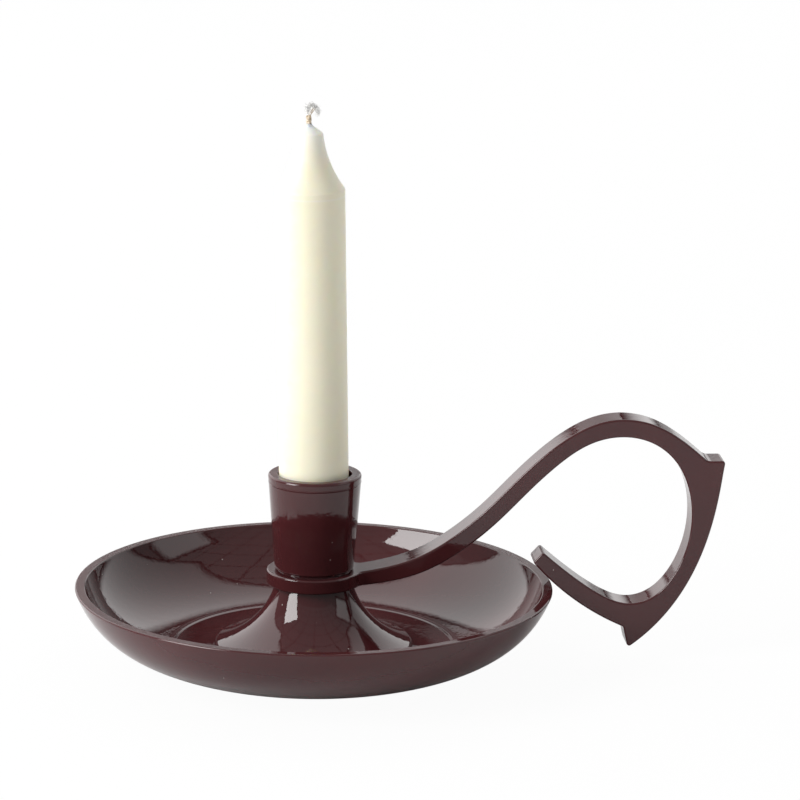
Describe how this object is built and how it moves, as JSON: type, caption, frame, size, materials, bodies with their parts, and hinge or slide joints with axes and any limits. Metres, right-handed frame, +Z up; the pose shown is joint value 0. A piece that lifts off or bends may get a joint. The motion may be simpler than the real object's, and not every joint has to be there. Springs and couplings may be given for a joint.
{
  "type": "chamberstick with finger loop",
  "caption": "Low chamberstick: round drip dish, flared pedestal, tapered candle cup and a flat S-shaped arm that ends in an open finger loop; the crown candle lifts out.",
  "frame": {"origin": "on the dish's axis, on the underside of the felt pad that the object stands on", "axes": "+Z up along the dish's axis; +X along the handle, from the dish's axis towards the finger loop"},
  "size_m": [0.2031, 0.1496, 0.1777],
  "materials": {
    "burgundy_lacquer": "glossy dark burgundy lacquer",
    "dark_felt": "matt felt",
    "bright_steel": "zinc-plated steel",
    "ivory_wax": "smooth ivory wax with a soft sheen",
    "cotton_wick": "waxed braided cotton"
  },
  "bodies": {
    "holder": {"dish": "burgundy_lacquer", "base_pad": "dark_felt", "pedestal": "burgundy_lacquer", "handle": "burgundy_lacquer", "socket": "burgundy_lacquer", "clamp_bolt": "bright_steel"},
    "candle": {"candle_body": "ivory_wax", "candle_wick": "cotton_wick"}
  },
  "joints": [
    {"name": "candle_lift", "type": "slide", "parent": "holder", "child": "candle", "axis": [-0.0211, 0, 0.9998], "range_m": [0, 0.04]}
  ]
}
